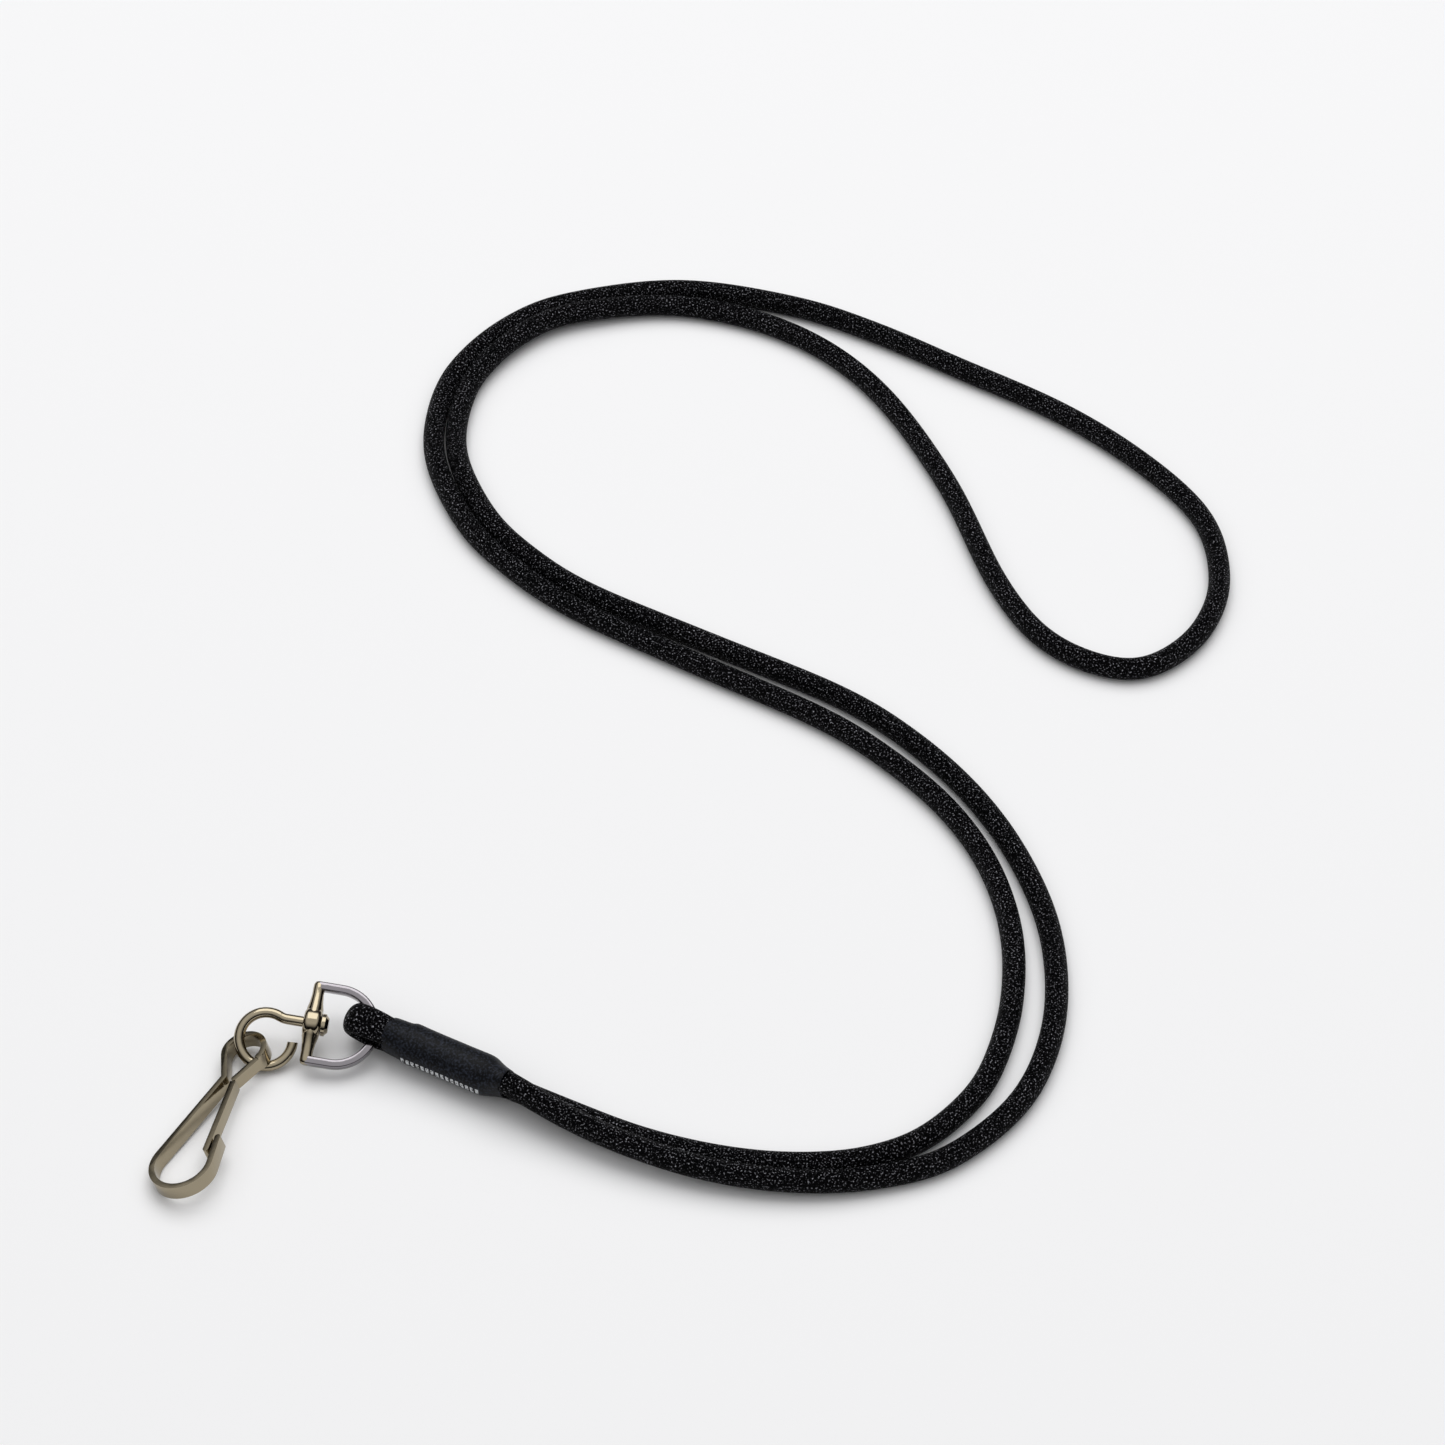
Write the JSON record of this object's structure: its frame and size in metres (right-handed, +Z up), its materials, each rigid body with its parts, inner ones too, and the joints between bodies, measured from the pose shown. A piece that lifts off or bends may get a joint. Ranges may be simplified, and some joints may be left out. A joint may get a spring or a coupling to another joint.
{
  "type": "lanyard",
  "caption": "Round braided neck cord joined by a shrink sleeve, with a D-ring, a wire swivel eye and a flat-strip spring hook with a gate.",
  "frame": {"origin": "bottom centre of the bounding box of the hardware and sleeve, measured without the free neck cord, on the table", "axes": "+Z up from the table the lanyard lies on, +X from the hardware towards the neck cord's first stretch, +Y away from the viewer"},
  "size_m": [0.1877, 0.2207, 0.0092],
  "materials": {
    "braid": "round braided polyester, slight sheen",
    "ferrule_metal": "crimped, hidden",
    "sleeve_black": "matte heat-shrunk",
    "bright_plate": "bright plated, polished",
    "nickel_wire": "nickel plated",
    "nickel_strip": "nickel plated strip, satin edges"
  },
  "bodies": {
    "cord_and_sleeve": {"neck_cord": "braid", "cord_fold": "braid", "crimp_ferrule": "ferrule_metal", "shrink_sleeve": "sleeve_black"},
    "d_ring": {"d_ring": "bright_plate"},
    "eye": {"swivel_eye": "nickel_wire"},
    "hook": {"hook_body": "nickel_strip"},
    "gate": {"hook_gate": "nickel_strip"}
  },
  "joints": [
    {"name": "d_ring_lift", "type": "hinge", "parent": "cord_and_sleeve", "child": "d_ring", "pos_m": [0.00581, 0.01272, 0.00484], "axis": [0.0208, 0.9233, 0.3836], "range_deg": [0, 90]},
    {"name": "eye_swivel", "type": "hinge", "parent": "d_ring", "child": "eye", "pos_m": [-0.00463, 0.01319, 0.00566], "axis": [0.9866, -0.1211, -0.109], "continuous": true},
    {"name": "hook_swing", "type": "hinge", "parent": "eye", "child": "hook", "pos_m": [-0.01648, 0.00944, 0.00297], "axis": [0.4332, -0.7115, -0.5533], "range_deg": [-3, 10]},
    {"name": "gate_flex", "type": "hinge", "parent": "hook", "child": "gate", "pos_m": [-0.01685, 0.00271, 0.0031], "axis": [0.2583, -0.0961, -0.9613], "range_deg": [0, 12], "stiffness_Nm_per_rad": 0.3}
  ]
}
